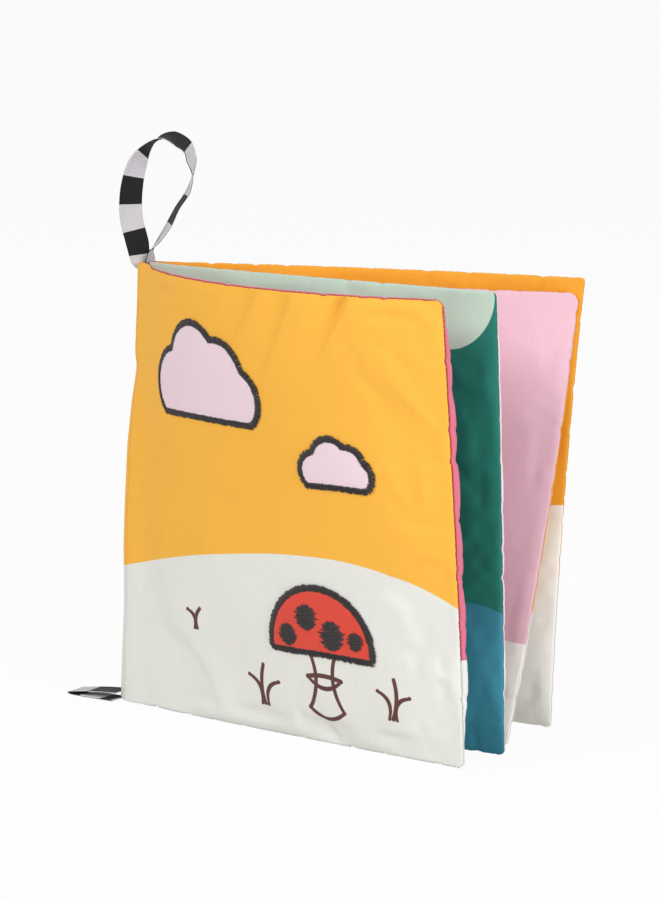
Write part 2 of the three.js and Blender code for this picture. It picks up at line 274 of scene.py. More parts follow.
def rounded_corner(along, up, radius):
    edge = np.clip((along - (leaf_side - radius)) / radius, 0, 1)
    head = np.clip((up - (leaf_side - radius)) / radius, 0, 1)
    foot = np.clip((radius - up) / radius, 0, 1)
    over = head + foot
    cut_along = edge * (1 - np.sqrt(1 - over**2 / 2))
    cut_up = over * (1 - np.sqrt(1 - edge**2 / 2))
    return along - cut_along * radius, up - np.sign(head - foot) * cut_up * radius


def leaf_centre(leaf, along, up):
    """The middle surface of a bowed leaf, and the direction to its left."""
    bow, hinge = leaf_bows[leaf], hinge_of[leaf]["pos_m"]
    share = up / leaf_side
    foot_x, foot_y, foot_turn = point_on_edge(bow["foot"], along)
    head_x, head_y, head_turn = point_on_edge(bow["head"], along)
    x = hinge[0] + foot_x * (1 - share) + (head_x + spine_lean.x) * share
    y = hinge[1] + foot_y * (1 - share) + (head_y + spine_lean.y) * share
    z = up + bow["rise"] * share * (1 - np.clip(1 - along / leaf_side, 0, 1) ** rise_power)
    run_x = np.cos(foot_turn) * (1 - share) + np.cos(head_turn) * share
    run_y = np.sin(foot_turn) * (1 - share) + np.sin(head_turn) * share
    run = np.hypot(run_x, run_y)
    fullest = 4 * share * (1 - share) * along / leaf_side
    outward, aside = bow["swell"][0] * fullest, bow["swell"][1] * fullest
    x = x + (outward * run_x - aside * run_y) / run
    y = y + (outward * run_y + aside * run_x) / run
    left = np.stack([-run_y / run, run_x / run, np.zeros_like(run)], -1)
    return np.stack([x, y, z], -1), left


def round_shoulder(distance):
    return np.sqrt(1 - (1 - np.clip(distance / pad_shoulder, 0, 1)) ** 2)


def pad_half(along, up):
    """Half the thickness of a pad."""
    ends = round_shoulder(np.minimum(up, leaf_side - up))
    spine = np.clip(along / spine_taper, 0, 1) ** spine_taper_power
    fullest = pad_thickness / 2 - seam_half
    return seam_half + fullest * round_shoulder(leaf_side - along) * ends * spine


# Edges: each seam lies towards the front of its leaf, and the cloth of the back rolls out over it
# as a soft lip. The sewing thread draws the cloth in at uneven places, and a short crease runs
# from each into the face. Between the stitches the cloth stands in small scallops.

seam_stitch_pitch = 0.0032
seam_groove_reach = 0.0009
seam_shift_from = 0.03
seam_pull_reach = 0.0022
free_height = 0.002
lip_reach, lip_softness, lip_corner = 0.0010, 0.0012, 0.0022
lip_heights = (0, 0.06, 0.1, 0.145, 0.22, 0.35, 0.8, 0.87, 0.91, 0.95, 1)
lip_widths = (0.02, 0.1, 0.4, 0.75, 0.92, 1, 1, 0.85, 0.65, 0.55, 0.5)
bulge_length, bulge_start, bulge_share, bulge_notch = 0.025, 0.146, 0.42, 0.3
pucker_spacing = (0.008, 0.019)
pucker_strengths, pucker_power = (0.25, 1), 1.5
pucker_reaches, pucker_slants = (0.004, 0.022), (-0.5, 0.5)
pucker_width, pucker_fan = 0.0013, 0.008
short_pucker = 0.4
pucker_notch, notch_reach = 0.0007, 0.0015
pucker_flattening, pucker_most = 0.55 / 1.4, 1.2
scallop_height, scallop_reach, scallop_inward = 0.00008, 0.0022, 0.8
wave_count, wave_lengths, wave_spread = 7, (0.028, 0.085), 2.5
slow_wave = 0.00055
leaf_seeds = {"front_cover": 11, "first_leaf": 23, "second_leaf": 37, "back_cover": 41}

# A few deeper folds run in from the front cover's seams. Each has its place along the seam, its
# depth, the widths of its flat and its steep side, how far in it is deepest, and its slant.
front_cover_folds = [
    ("head", 0.100, 0.0016, 0.0070, 0.0022, 0.0060, -0.7),
    ("head", 0.116, 0.0018, 0.0080, 0.0022, 0.0090, -0.5),
    ("head", 0.142, 0.0036, 0.0055, 0.0015, 0.0052, -0.6),
    ("foot", 0.1195, 0.0016, 0.0050, 0.0016, 0.0040, -0.6),
]


def swelling_then_fading(share):
    """0 at the seam, 1 at a share of 1, and fading beyond it."""
    return share * np.exp(1 - share)


def fold_depth(along, up):
    """How deep the folds of the front cover lie."""
    total = np.zeros_like(along)
    for seam, place, depth, flat, steep, deepest, slant in front_cover_folds:
        inward = up if seam == "foot" else leaf_side - up
        across = along - place - slant * inward
        width = np.where(across < 0, flat, steep)
        total += depth * np.exp(-((across / width) ** 2)) * swelling_then_fading(inward / deepest)
    return total


def drawn_puckers(seed):
    """Places, strengths, reaches and slants of the puckers along the three seams of a leaf."""
    random = np.random.default_rng(seed)
    puckers = []
    for seam in ("foot", "fore", "head"):
        place = random.uniform(*pucker_spacing)
        while place < leaf_side - pucker_spacing[0] / 2:
            puckers.append((seam, place, random.uniform(*pucker_strengths) ** pucker_power,
                            random.uniform(*pucker_reaches), random.uniform(*pucker_slants)))
            place += random.uniform(*pucker_spacing)
    return puckers


def pucker_field(puckers, along, up, side):
    """How far the puckers draw each point in, from 0 to about 1, and the notch at the seam."""
    crease, notch = np.zeros_like(along), np.zeros_like(along)
    for number, (seam, place, strength, reach, slant) in enumerate(puckers):
        inward = {"foot": up, "head": leaf_side - up, "fore": leaf_side - along}[seam]
        across = (up if seam == "fore" else along) - place
        own_reach = reach * (1 if (number + side) % 3 else short_pucker)
        width = pucker_width * (1 + inward / pucker_fan)
        off = (across - slant * inward) / width
        crease += strength * np.exp(-(off**2) - inward / own_reach)
        notch += strength * np.exp(-((across / pucker_width) ** 2) - inward / notch_reach)
    return crease, notch


def slow_waves(seed, along, up):
    """A soft unevenness of the wadding, as a sum of a few slow waves."""
    random = np.random.default_rng(seed)
    total = np.zeros_like(along)
    for _ in range(wave_count):
        length = random.uniform(*wave_lengths)
        heading, phase = random.uniform(0, np.pi), random.uniform(0, 2 * np.pi)
        run = along * math.cos(heading) + up * math.sin(heading)
        total += np.sin(2 * np.pi * run / length + phase) * length / wave_lengths[1]
    return total / wave_spread


# The wadding pushes the two cloths apart between the seams, which holds them, so the cloth
# crumples a little towards each seam. A short cloth simulation of the whole pad finds how.

crumple_cells = 46
crumple_frames = 16
crumple_settings = dict(
    quality=6, mass=0.02, tension_stiffness=18, compression_stiffness=18, shear_stiffness=6,
    bending_stiffness=0.08, shrink_min=-0.022, use_pressure=True, uniform_pressure_force=2.5,
    vertex_group_mass="held")
crumple_limits = {"front_cover": 0.0007, "first_leaf": 0.0004, "second_leaf": 0.0003,
                  "back_cover": 0.0003}
crumple_free_from = 0.030


def grid_quads(index, turned=False):
    """Four-cornered faces over a grid of points, facing one way or the other."""
    a, b, c, d = index[:-1, :-1], index[1:, :-1], index[1:, 1:], index[:-1, 1:]
    return np.stack([a, d, c, b] if turned else [a, b, c, d], -1).reshape(-1, 4)


def crumpled(leaf):
    """How far the two cloths of a leaf move from the plain pad, as one even grid for each side."""
    count = crumple_cells + 1
    lines = np.linspace(0, leaf_side, count)
    along, up = np.meshgrid(lines, lines, indexing="ij")
    centre, left = leaf_centre(leaf, *rounded_corner(along, up, leaf_bows[leaf]["corner"]))
    half = pad_half(along, up)[..., None]
    border = np.ones((count, count), bool)
    border[1:-1, 1:-1] = False
    index = {-1: np.arange(count * count).reshape(count, count)}
    index[1] = np.where(border, index[-1], 0)
    index[1][~border] = count * count + np.arange((~border).sum())
    points = np.zeros((count * count + (~border).sum(), 3))
    points[index[-1]] = np.where(border[..., None], centre, centre - left * half)
    points[index[1][~border]] = (centre + left * half)[~border]
    quads = np.concatenate([grid_quads(index[-1]), grid_quads(index[1], turned=True)])
    trial = mesh_object("trial_pad", points, quads)
    trial.vertex_groups.new(name="held").add(index[-1][border].tolist(), 1, "REPLACE")
    cloth = trial.modifiers.new("cloth", "CLOTH")
    for setting, value in crumple_settings.items():
        setattr(cloth.settings, setting, value)
    cloth.settings.effector_weights.gravity = 0
    cloth.collision_settings.use_collision = False
    for step in range(1, crumple_frames + 1):
        scene.frame_set(step)
    evaluated = trial.evaluated_get(bpy.context.evaluated_depsgraph_get())
    moved = np.zeros(len(points) * 3)
    evaluated.to_mesh().vertices.foreach_get("co", moved)
    evaluated.to_mesh_clear()
    shift = moved.reshape(-1, 3) - points
    bpy.data.meshes.remove(trial.data)
    scene.frame_set(1)
    size = np.linalg.norm(shift, axis=1, keepdims=True) + 1e-9
    limit = crumple_limits[leaf]
    shift *= limit * np.tanh(size / limit) / size
    fade = np.clip(along / crumple_free_from, 0, 1)[..., None]
    return {side: shift[cells] * fade for side, cells in index.items()}


leaf_puckers = {leaf: drawn_puckers(seed) for leaf, seed in leaf_seeds.items()}
leaf_crumples = {leaf: crumpled(leaf) for leaf in leaf_bows}


def sampled(grid, along, up):
    """The crumple's even grid, read smoothly at any places on the leaf."""
    taps = []
    for place in (along, up):
        scaled = np.clip(place / leaf_side, 0, 1) * crumple_cells
        cell = np.minimum(np.floor(scaled).astype(int), crumple_cells - 1)
        t = scaled - cell
        weights = (-t**3 + 2 * t**2 - t, 3 * t**3 - 5 * t**2 + 2, -3 * t**3 + 4 * t**2 + t,
                   t**3 - t**2)
        taps.append([(np.clip(cell + i - 1, 0, crumple_cells), weight / 2)
                     for i, weight in enumerate(weights)])
    return sum(grid[row, column] * (row_weight * column_weight)[..., None]
               for row, row_weight in taps[0] for column, column_weight in taps[1])


def pad_point(leaf, side, along, up, lift=0.0):
    """A point a lift above the outside of one cloth: side -1 faces the front cover's way."""
    bow = leaf_bows[leaf]
    fore, ends = leaf_side - along, np.minimum(up, leaf_side - up)
    crease, notch = pucker_field(leaf_puckers[leaf], along, up, side)
    away = np.minimum(fore, ends)
    scallop = np.cos(2 * np.pi * np.where(fore < ends, up, along) / seam_stitch_pitch)
    scallop = scallop * np.exp(-away / scallop_reach) * scallop_height
    half = pad_half(along, up)
    room = np.clip((half - seam_half) / free_height, 0, 1)
    waves = slow_waves(leaf_seeds[leaf], along, up) * slow_wave * room
    side_waves = slow_waves(leaf_seeds[leaf] + side * 3, along, up) * slow_wave / 2 * room
    from_spine = np.clip(along / seam_shift_from, 0, 1)
    shift = bow["seam_shift"] * from_spine
    fullest = pad_thickness / 2 - seam_half
    fullness = (half - seam_half) / fullest
    if side > 0:
        fullness = fullness * (1 - np.exp(-away / lip_softness))
    flattened = 1 - pucker_flattening * np.clip(crease, 0, pucker_most)
    outer = seam_half + (fullest + side * shift) * fullness * flattened - scallop * room
    if leaf == "front_cover" and side < 0:
        outer = outer - fold_depth(along, up) * room
    groove = bow["groove"] * np.exp(-(((half - seam_half) / seam_groove_reach) ** 2))
    drawn = groove + notch * pucker_notch + scallop * scallop_inward
    pull_along = drawn * np.exp(-fore / seam_pull_reach)
    pull_up = drawn * np.exp(-ends / seam_pull_reach)
    if side > 0:
        swelling = np.sqrt(np.abs(np.sin(np.pi * (up - bulge_start) / bulge_length)))
        swelling = 1 - bulge_share * (1 - swelling) - bulge_notch * notch
        swelling = swelling * np.interp(up / leaf_side, lip_heights, lip_widths)
        lip = bow["fore_lip"] * swelling_then_fading(fore / lip_reach)
        pull_along = pull_along - lip * swelling * (1 - np.exp(-ends / lip_corner))
        standing = np.where(up > leaf_side / 2, from_spine, 0)
        lip = bow["head_lip"] * swelling_then_fading(ends / lip_reach)
        pull_up = pull_up - lip * standing * (1 - np.exp(-fore / lip_corner))
    pull_up = pull_up * np.sign(leaf_side / 2 - up)
    square_along, square_up = rounded_corner(along, up, bow["corner"])
    centre, left = leaf_centre(leaf, square_along - pull_along, square_up + pull_up)
    offset = waves - shift + side * (outer + lift + side_waves)
    moved = sampled(leaf_crumples[leaf][side], along, up)
    return centre + left * offset[..., None] + moved * room[..., None]


# The outer cloth of both covers is one sheet. Near the spine it leaves the pads and runs round the
# back of the book as a soft uneven roll, which is the outline seen at the left of the book.

root_width, root_share = 0.014, 0.26
small_run = 0.002
covers_outside = (("front_cover", -1), ("back_cover", 1))
roll_heights = (0, 0.015, 0.040, 0.065, 0.082, 0.106, 0.123, 0.1377, 0.1435, 0.164, 0.180)
roll_reaches = (0.0008, 0.0012, 0.0015, 0.0029, 0.0032, 0.0033, 0.0024, 0.0009, 0.0020, 0.0022,
                0.0026)
roll_closing, roll_closing_reach = 0.5, 0.0003
roll_forward, roll_behind, roll_aside = 0.0009, 0.0006, 0.0010
roll_heading = (0.1, 1.0, 0)
core_centre = np.array([0.0010, 0, 0])
seen_left = np.array([-math.cos(camera_turn), -math.sin(camera_turn), 0])
seen_away = np.array([-math.sin(camera_turn), math.cos(camera_turn), 0])
even_heights = np.linspace(0, leaf_side, 181)
softening = np.exp(-np.linspace(-2, 2, 9) ** 2)
even_reaches = np.convolve(np.pad(np.interp(even_heights, roll_heights, roll_reaches), 4, "edge"),
                           softening / softening.sum(), mode="valid")


def spine_line(up):
    """Points of the leaning line of the spine, at heights above the foot."""
    return np.asarray(up)[..., None] * np.array(spine_lean) / leaf_side


def unit(vectors):
    return vectors / np.linalg.norm(vectors, axis=-1, keepdims=True)


def curve_between(start, start_pull, end, end_pull, t):
    """Places on the smooth curve that leaves one point, and meets another, as each is pulled."""
    return ((2 * t**3 - 3 * t**2 + 1) * start + (t**3 - 2 * t**2 + t) * start_pull
            + (3 * t**2 - 2 * t**3) * end + (t**3 - t**2) * end_pull)


def smooth_between(start, start_run, end, end_run, t):
    """The same, with pulls as long as the two points are far apart."""
    length = np.linalg.norm(end - start, axis=-1, keepdims=True)
    return curve_between(start, start_run * length, end, end_run * length, np.asarray(t)[..., None])


def roll_points(leaf, up):
    """Where the roll starts towards a cover, and the way it runs there."""
    reach = np.interp(up, even_heights, even_reaches)
    if leaf == "front_cover":
        points = spine_line(up) + reach[..., None] * seen_left - roll_forward * seen_away
        run = -seen_away
    else:
        points = spine_line(up) + np.stack([-reach - roll_behind, np.full_like(reach, roll_aside),
                                            0 * reach], -1)
        run = unit(np.array(roll_heading))
    core = spine_line(up) + core_centre
    closing = roll_closing * np.exp(-np.minimum(up, leaf_side - up) / roll_closing_reach)
    return core + (points - core) * (1 - closing)[..., None], run


def root_curve(leaf, side, up, t):
    """The outer cloth between the roll and the face of a cover."""
    edge = np.full_like(up, root_width)
    end = pad_point(leaf, side, edge, up)
    end_run = unit(pad_point(leaf, side, edge + small_run, up) - end)
    start, start_run = roll_points(leaf, up)
    return smooth_between(start, start_run, end, end_run, t)


def cloth_point(leaf, side, along, up, lift=0.0):
    """A point a lift above one cloth of a leaf, as made up into the book."""
    point = pad_point(leaf, side, along, up, lift)
    near = along < root_width
    if (leaf, side) in covers_outside and near.any():
        t = root_share + (1 - root_share) * along[near] / root_width
        left = leaf_centre(leaf, along[near], up[near])[1]
        own_lift = np.broadcast_to(lift, along.shape)[near][..., None]
        point[near] = root_curve(leaf, side, up[near], t) + left * side * own_lift
    return point


# Cloth: a close satin of fine polyester, printed in flat fields with clean borders. Its threads
# show only from near by, as a fine weave with a soft sheen and slight streaks.

cloth_thickness, off_middle = 0.00035, 0.1 * seam_half
# Lines of the cloth's mesh: three to a stitch, and closer ones where it rolls into the seam.
line_pitch = seam_stitch_pitch / 3
rolled_width = 0.0064
rolled = rolled_width * np.array((0.012, 0.045, 0.1, 0.18, 0.29, 0.42, 0.57, 0.74))
flat = np.arange(1, round((leaf_side - 2 * rolled_width) / line_pitch)) * line_pitch + rolled_width
flat = flat[flat < leaf_side - rolled_width - line_pitch / 2]
outer_lines = [[rolled_width], flat, [leaf_side - rolled_width], (leaf_side - rolled)[::-1],
               [leaf_side]]
up_lines = np.concatenate([[0], rolled, *outer_lines])
along_lines = np.concatenate([np.arange(0, rolled_width, line_pitch), *outer_lines])

thread_pitch, weft_share = 0.00042, 1.15
streak_stretch, broad_scale = (1400.0, 60.0, 1.0), 26.0
streak_tint, broad_tint, weave_tint = 0.07, 0.06, 0.012
streak_height, satin_relief = 1.2, (0.32, 0.00006)
print_softness = 0.00012


def shell_faces(rows, columns, flipped):
    """Faces of a thin closed shell: an outer grid, an inner grid and the rim between them."""
    outer = np.arange(rows * columns).reshape(rows, columns)
    loop = np.concatenate([outer[:, 0], outer[-1, 1:], outer[-2::-1, -1], outer[0, -2:0:-1]])
    following = np.roll(loop, -1)
    faces = np.concatenate([
        grid_quads(outer), grid_quads(outer + outer.size, turned=True),
        np.stack([following, loop, loop + outer.size, following + outer.size], -1)])
    return faces[:, ::-1] if flipped else faces


def cloth_panel(name, leaf, side, material):
    """One cloth of a leaf, as a thin closed shell. Its UV map is the place on the cloth."""
    along, up = np.meshgrid(along_lines, up_lines, indexing="ij")
    depth = np.minimum(cloth_thickness, pad_half(along, up) - off_middle)
    points = [cloth_point(leaf, side, along, up, lift).reshape(-1, 3) for lift in (0.0, -depth)]
    uv = np.tile(np.stack([along.ravel(), up.ravel()], -1), (2, 1))
    faces = shell_faces(*along.shape, side > 0)
    return mesh_object(name, np.concatenate(points), faces, uv, material)


def paint(code):
    """A colour written as on a colour card, as the linear values that a shader takes."""
    values = [int(code[i:i + 2], 16) / 255 for i in (0, 2, 4)]
    return (*[v / 12.92 if v <= 0.04045 else ((v + 0.055) / 1.055) ** 2.4 for v in values], 1)


def satin(name, colour_of):
    """A printed satin cloth. colour_of gives its colour from the nodes and the two places."""
    material, nodes = new_material(name)
    place, along, up = nodes.cloth_place()
    turns = 2 * math.pi / thread_pitch
    weave = nodes.sum("SINE", along * turns) * nodes.sum("SINE", up * (turns * weft_share))
    stretched = nodes.node("ShaderNodeVectorMath", place, streak_stretch, operation="MULTIPLY")
    streaks, broad = nodes.noise(stretched, 1.0, 2.0), nodes.noise(place, broad_scale, 3.0)
    value = (streaks - 0.5) * streak_tint + (broad - 0.5) * broad_tint + weave * weave_tint + 1.0
    nodes.finish(colour_of(nodes, along, up), value, weave + streaks * streak_height, satin_relief,
                 Roughness=0.55, Sheen_Weight=0.03, Sheen_Roughness=0.4, Specular_IOR_Level=0.09)
    return material


def over_ground(sky, ground, heights):
    """A field of one colour above another. The border's points are shares of the leaf."""
    def colour_of(nodes, along, up):
        border = nodes.node("ShaderNodeFloatCurve", named={"Value": along / leaf_side})
        mapping = border.socket.node.mapping
        curve = mapping.curves[0]
        curve.points[0].location, curve.points[-1].location = heights[0], heights[-1]
        for x, y in heights[1:-1]:
            curve.points.new(x, y)
        mapping.update()
        above = nodes.step(up, border * leaf_side, print_softness)
        return nodes.mixed(above, paint(ground), paint(sky))
    return colour_of


# The plain satins: the colour of the field, the colour of the ground and the border between them.
# The inner faces take a lighter, warmer off-white than the outer ones: painted light, for the light
# thrown about between the leaves.
orange, off_white, painted_light_white = "FABA4A", "E8E9E4", "F6F4EF"
satins = {name: satin(name + "_satin", over_ground(*printed)) for name, *printed in (
    ("outer_orange", orange, off_white, [(0, 0.314), (0.35, 0.24), (0.7, 0.27), (1, 0.34)]),
    ("orange", orange, painted_light_white, [(0, 0.37), (0.4, 0.4), (1, 0.3)]),
    # The back cover's inner face takes a darker, deeper copy of the orange cloth: painted shade,
    # for the gap behind the leaves.
    ("inner_orange", "F2A838", painted_light_white, [(0, 0.36), (0.5, 0.46), (1, 0.5)]),
    ("hot_pink", "DB778E", off_white, [(0, 0.3), (0.35, 0.36), (0.7, 0.31), (1, 0.235)]),
    ("pale_pink", "E9BDCB", painted_light_white, [(0, 0.36), (0.35, 0.31), (0.7, 0.26), (1, 0.23)]),
    # The first leaf's back is a paler copy of the pale pink cloth: a painted highlight.
    ("faint_pink", "F0E2E6", painted_light_white, [(0, 0.36), (0.4, 0.3), (1, 0.23)]),
)}


# Drawn cloths: the cover has brown ink strokes for the stalk of the toadstool and for tufts of
# grass, over its hill. The teal page has a row of mint discs along the top, over its blue ground.

hill = [(0, 0.314), (0.217, 0.367), (0.406, 0.4), (0.611, 0.422), (0.772, 0.417), (0.894, 0.389),
        (1, 0.345)]
sea = [(0, 0.26), (0.3, 0.215), (0.62, 0.27), (0.92, 0.33), (1, 0.314)]
teal, sea_blue, mint, brown_ink = "2B7C6F", "4490A6", "C8DFCE", "664440"
mint_discs = [(0.878, 0.990, 0.119), (0.655, 1.01, 0.15), (0.40, 1.0, 0.135), (0.16, 1.01, 0.15)]
ink_width = 0.0019
# The two ends and the bend of each stroke, as shares of the leaf's side.
ink_strokes = [
    (0.612, 0.200, 0.596, 0.082, 0.016), (0.676, 0.200, 0.694, 0.082, -0.016),
    (0.596, 0.082, 0.694, 0.082, -0.020), (0.597, 0.152, 0.691, 0.152, 0.006),
    (0.597, 0.152, 0.691, 0.152, -0.022), (0.452, 0.070, 0.420, 0.130, -0.016),
    (0.462, 0.070, 0.466, 0.158, 0.008), (0.472, 0.070, 0.508, 0.124, 0.016),
    (0.818, 0.090, 0.790, 0.146, -0.016), (0.828, 0.090, 0.834, 0.176, -0.008),
    (0.838, 0.090, 0.872, 0.140, 0.016), (0.262, 0.214, 0.242, 0.252, -0.012),
    (0.270, 0.214, 0.282, 0.258, 0.008),
]


def stroke_mask(nodes, along, up, stroke):
    """1 on a bent stroke of ink and 0 off it."""
    x0, y0, x1, y1, bend = [share * leaf_side for share in stroke]
    length = math.hypot(x1 - x0, y1 - y0)
    run_x, run_y = (x1 - x0) / length, (y1 - y0) / length
    from_x, from_y = along - x0, up - y0
    share = (from_x * run_x + from_y * run_y) / length
    held = nodes.node("ShaderNodeClamp", share)
    bow = held * (1.0 - held) * (4 * bend)
    off = from_y * run_x - from_x * run_y - bow
    distance = nodes.distance(off, (share - held) * length)
    return 1.0 - nodes.step(distance, ink_width / 2, print_softness)


def cover_print(nodes, along, up):
    inked, *others = [stroke_mask(nodes, along, up, stroke) for stroke in ink_strokes]
    for mask in others:
        inked = nodes.sum("MAXIMUM", inked, mask)
    return nodes.mixed(inked, over_ground(orange, off_white, hill)(nodes, along, up),
                       paint(brown_ink))


def teal_print(nodes, along, up):
    colour = over_ground(teal, sea_blue, sea)(nodes, along, up)
    for x, y, radius in mint_discs:
        distance = nodes.distance(along - x * leaf_side, up - y * leaf_side)
        outside = nodes.step(distance, radius * leaf_side, print_softness)
        colour = nodes.mixed(outside, paint(mint), colour)
    return colour


# Panels: the eight cloths of the four leaves, each over its own half of the wadding. The two cloths
# of a leaf meet in the seam.

satins.update(cover=satin("printed_cover_satin", cover_print), teal=satin("teal_satin", teal_print))
panels = [
    ("front_cover", "outer", -1, "cloth_orange", "cover"),
    ("front_cover", "inner", 1, "cloth_hot_pink", "hot_pink"),
    ("first_leaf", "front", -1, "cloth_teal", "teal"),
    # painted highlight: the first leaf's back is a paler copy of its pale pink cloth
    ("first_leaf", "back", 1, "cloth_pale_pink", "faint_pink"),
    ("second_leaf", "front", -1, "cloth_pale_pink", "pale_pink"),
    ("second_leaf", "back", 1, "cloth_orange", "orange"),
    # painted shade: the back cover's inner face is a darker copy of the orange cloth
    ("back_cover", "inner", -1, "cloth_orange", "inner_orange"),
    ("back_cover", "outer", 1, "cloth_orange", "outer_orange"),
]
hinge_bend = 0.008


def bend_between(piece, first, second, start, end):
    """The piece's place is baked into its mesh; it does not follow the two bodies on either side of
    the hinge.
    """
    start, direction = Vector(start), Vector(end) - Vector(start)
    direction -= lean_axis * direction.dot(lean_axis)
    start + direction
    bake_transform(piece)
    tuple(start)


for leaf, face, side, slot, satin_name in panels:
    panel = cloth_panel(f"{leaf}_{face}_cloth", leaf, side, satins[satin_name])
    hinge, bow = hinge_of[leaf], leaf_bows[leaf]
    towards = math.radians((bow["foot"][0] + bow["head"][0]) / 2)
    direction = Vector((math.cos(towards), math.sin(towards), 0)) * hinge_bend
    bend_between(panel, hinge["parent"], leaf, hinge["pos_m"], Vector(hinge["pos_m"]) + direction)
    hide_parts(f"{leaf}_{face}_panel")
    if side < 0:
        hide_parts(leaf + "_wadding")


# Spine: the sheet of the two covers runs round the sewn edges of the leaves. Inside it is a core
# of folded seam allowances, which everything is sewn through.

cloth_strip = 0.00032
roll_steps = 8
core_half_width, core_half_depth, core_head = 0.0019, 0.0013, 0.0008
core_foot, core_top = 0.0003, leaf_side - 0.0016
core_rows, core_sides = 60, 20
core_head_places, core_head_sizes = np.array([0.6, 1]), [0.8, 0.2]


def cloth_strip_mesh(name, sheet, toward, material):
    """A narrow closed strip through lines of points, as thick towards a line as cloth is."""
    inward = unit(toward - sheet)
    points = [part.reshape(-1, 3) for part in (sheet, sheet + inward * cloth_strip)]
    steps = np.linalg.norm(np.diff(sheet, axis=0), axis=-1).mean(1)
    along = -np.concatenate([[0], np.cumsum(steps)])[::-1]
    uv = np.stack(np.broadcast_arrays(along[:, None], sheet[0, :, 2][None, :]), -1).reshape(-1, 2)
    middle = sheet.shape[1] // 2
    run, rise = sheet[1, middle] - sheet[0, middle], sheet[0, middle + 1] - sheet[0, middle]
    faces = shell_faces(*sheet.shape[:2], np.dot(np.cross(run, rise), inward[0, middle]) > 0)
    return mesh_object(name, np.concatenate(points), faces, np.tile(uv, (2, 1)), material)


def ring_quads(index):
    """Four-cornered faces between closed rings of points."""
    following = np.roll(index, -1, axis=1)
    return np.stack([index[:-1], following[:-1], following[1:], index[1:]], -1).reshape(-1, 4)


def tube_faces(rows, sides, flipped=False):
    """Faces of a tube of rings, closed at both ends."""
    index = np.arange(rows * sides).reshape(rows, sides)
    faces = [*ring_quads(index), index[0, ::-1], index[-1]]
    return [face[::-1] for face in faces] if flipped else faces


line = spine_line(up_lines)
steps_round = np.linspace(0, 1, roll_steps + 1)[:, None]
back_start, back_start_run = roll_points("back_cover", up_lines)
front_start, front_start_run = roll_points("front_cover", up_lines)
back_of_roll = smooth_between(back_start[None], -back_start_run, front_start[None], front_start_run,
                              steps_round)
front_root, back_root = [root_curve(leaf, side, up_lines, steps_round * root_share)
                         for leaf, side in covers_outside]
core_middle = line + np.array([0.0030, 0, 0])
for name, sheet, satin_name, leaf, aside in (
        ("spine_cloth_front", np.concatenate([back_of_roll[:-1], front_root]), "cover",
         "first_leaf", -0.0045),
        ("spine_cloth_back", back_root, "outer_orange", "second_leaf", 0.0045)):
    roll_piece = cloth_strip_mesh(name, sheet, core_middle, satins[satin_name])
    bend_between(roll_piece, "spine", leaf, (-0.0005, 0, 0), (0.0055, aside, 0))

core_ups = np.linspace(core_foot, core_top, core_rows)
core_ups = np.concatenate([core_ups, core_top + core_head_places * core_head])
core_sizes = np.concatenate([np.ones(core_rows), core_head_sizes])
turns = np.linspace(0, 2 * np.pi, core_sides, endpoint=False)
core_ring = core_centre + np.stack([core_half_depth * np.cos(turns),
                                    core_half_width * np.sin(turns), 0 * turns], -1)
core_points = spine_line(core_ups)[:, None] + core_ring * core_sizes[:, None, None]
core_uv = np.stack(np.broadcast_arrays(core_half_width * turns[None], core_ups[:, None]), -1)
core = mesh_object("spine_core", core_points.reshape(-1, 3), tube_faces(len(core_ups), core_sides),
                   core_uv.reshape(-1, 2), satins["orange"])
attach(core, "spine")
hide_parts("spine_fold")


# Gutters: between two facing pages the cloth folds in to the spine and out again. In the middle
# opening the fold is sewn straight through to the core.

gutter_lap, gutter_under = 0.0022, 0.0002
gutter_depth = 0.02
gutter_places = np.linspace(0, 1, 9)[:, None]
gutter_middle = line + np.array([0.0024, 0, 0])


def leaf_edge(leaf, side):
    """A line up one cloth of a leaf near the spine, and the way the cloth runs there."""
    here, beyond = [cloth_point(leaf, side, np.full_like(up_lines, along), up_lines, -gutter_under)
                    for along in (gutter_lap, gutter_lap + small_run)]
    return here, unit(beyond - here)


for name, first, second, aside, slot, satin_name in (
        ("front_gutter_cloth", "front_cover", "first_leaf", -1, "cloth_hot_pink", "hot_pink"),
        ("rear_gutter_cloth", "second_leaf", "back_cover", 1, "cloth_orange", "orange")):
    start, start_run = leaf_edge(first, 1)
    end, end_run = leaf_edge(second, -1)
    sheet = smooth_between(start[None], -start_run, end[None], end_run, gutter_places)
    beyond = (start + end) / 2 + (start_run + end_run) * gutter_depth
    gutter = cloth_strip_mesh(name, sheet, 2 * sheet - beyond, satins[satin_name])
    bodies = (second, first) if aside < 0 else (first, second)
    bend_between(gutter, *bodies, (0.0040, 0.0022 * aside, 0), (0.0040, 0.0040 * aside, 0))

for half, leaf, side in (("near", "first_leaf", 1), ("far", "second_leaf", -1)):
    edge, run = leaf_edge(leaf, side)
    sheet = smooth_between(gutter_middle[None], np.array([0, -1.0 * side, 0]), edge[None], run,
                           gutter_places)
    gutter = cloth_strip_mesh(f"middle_gutter_cloth_{half}", sheet,
                              2 * sheet - (edge + run * gutter_depth), satins["pale_pink"])
    bend_between(gutter, "spine", leaf, (0.0026, -0.0003 * side, 0), (0.0046, -0.0016 * side, 0))


# Patches: two clouds of pale pink satin and a toadstool's cap of red felt, laid on the front cover
# and sewn down all round. The cloth of each is a little full, so it stands up inside its edge.

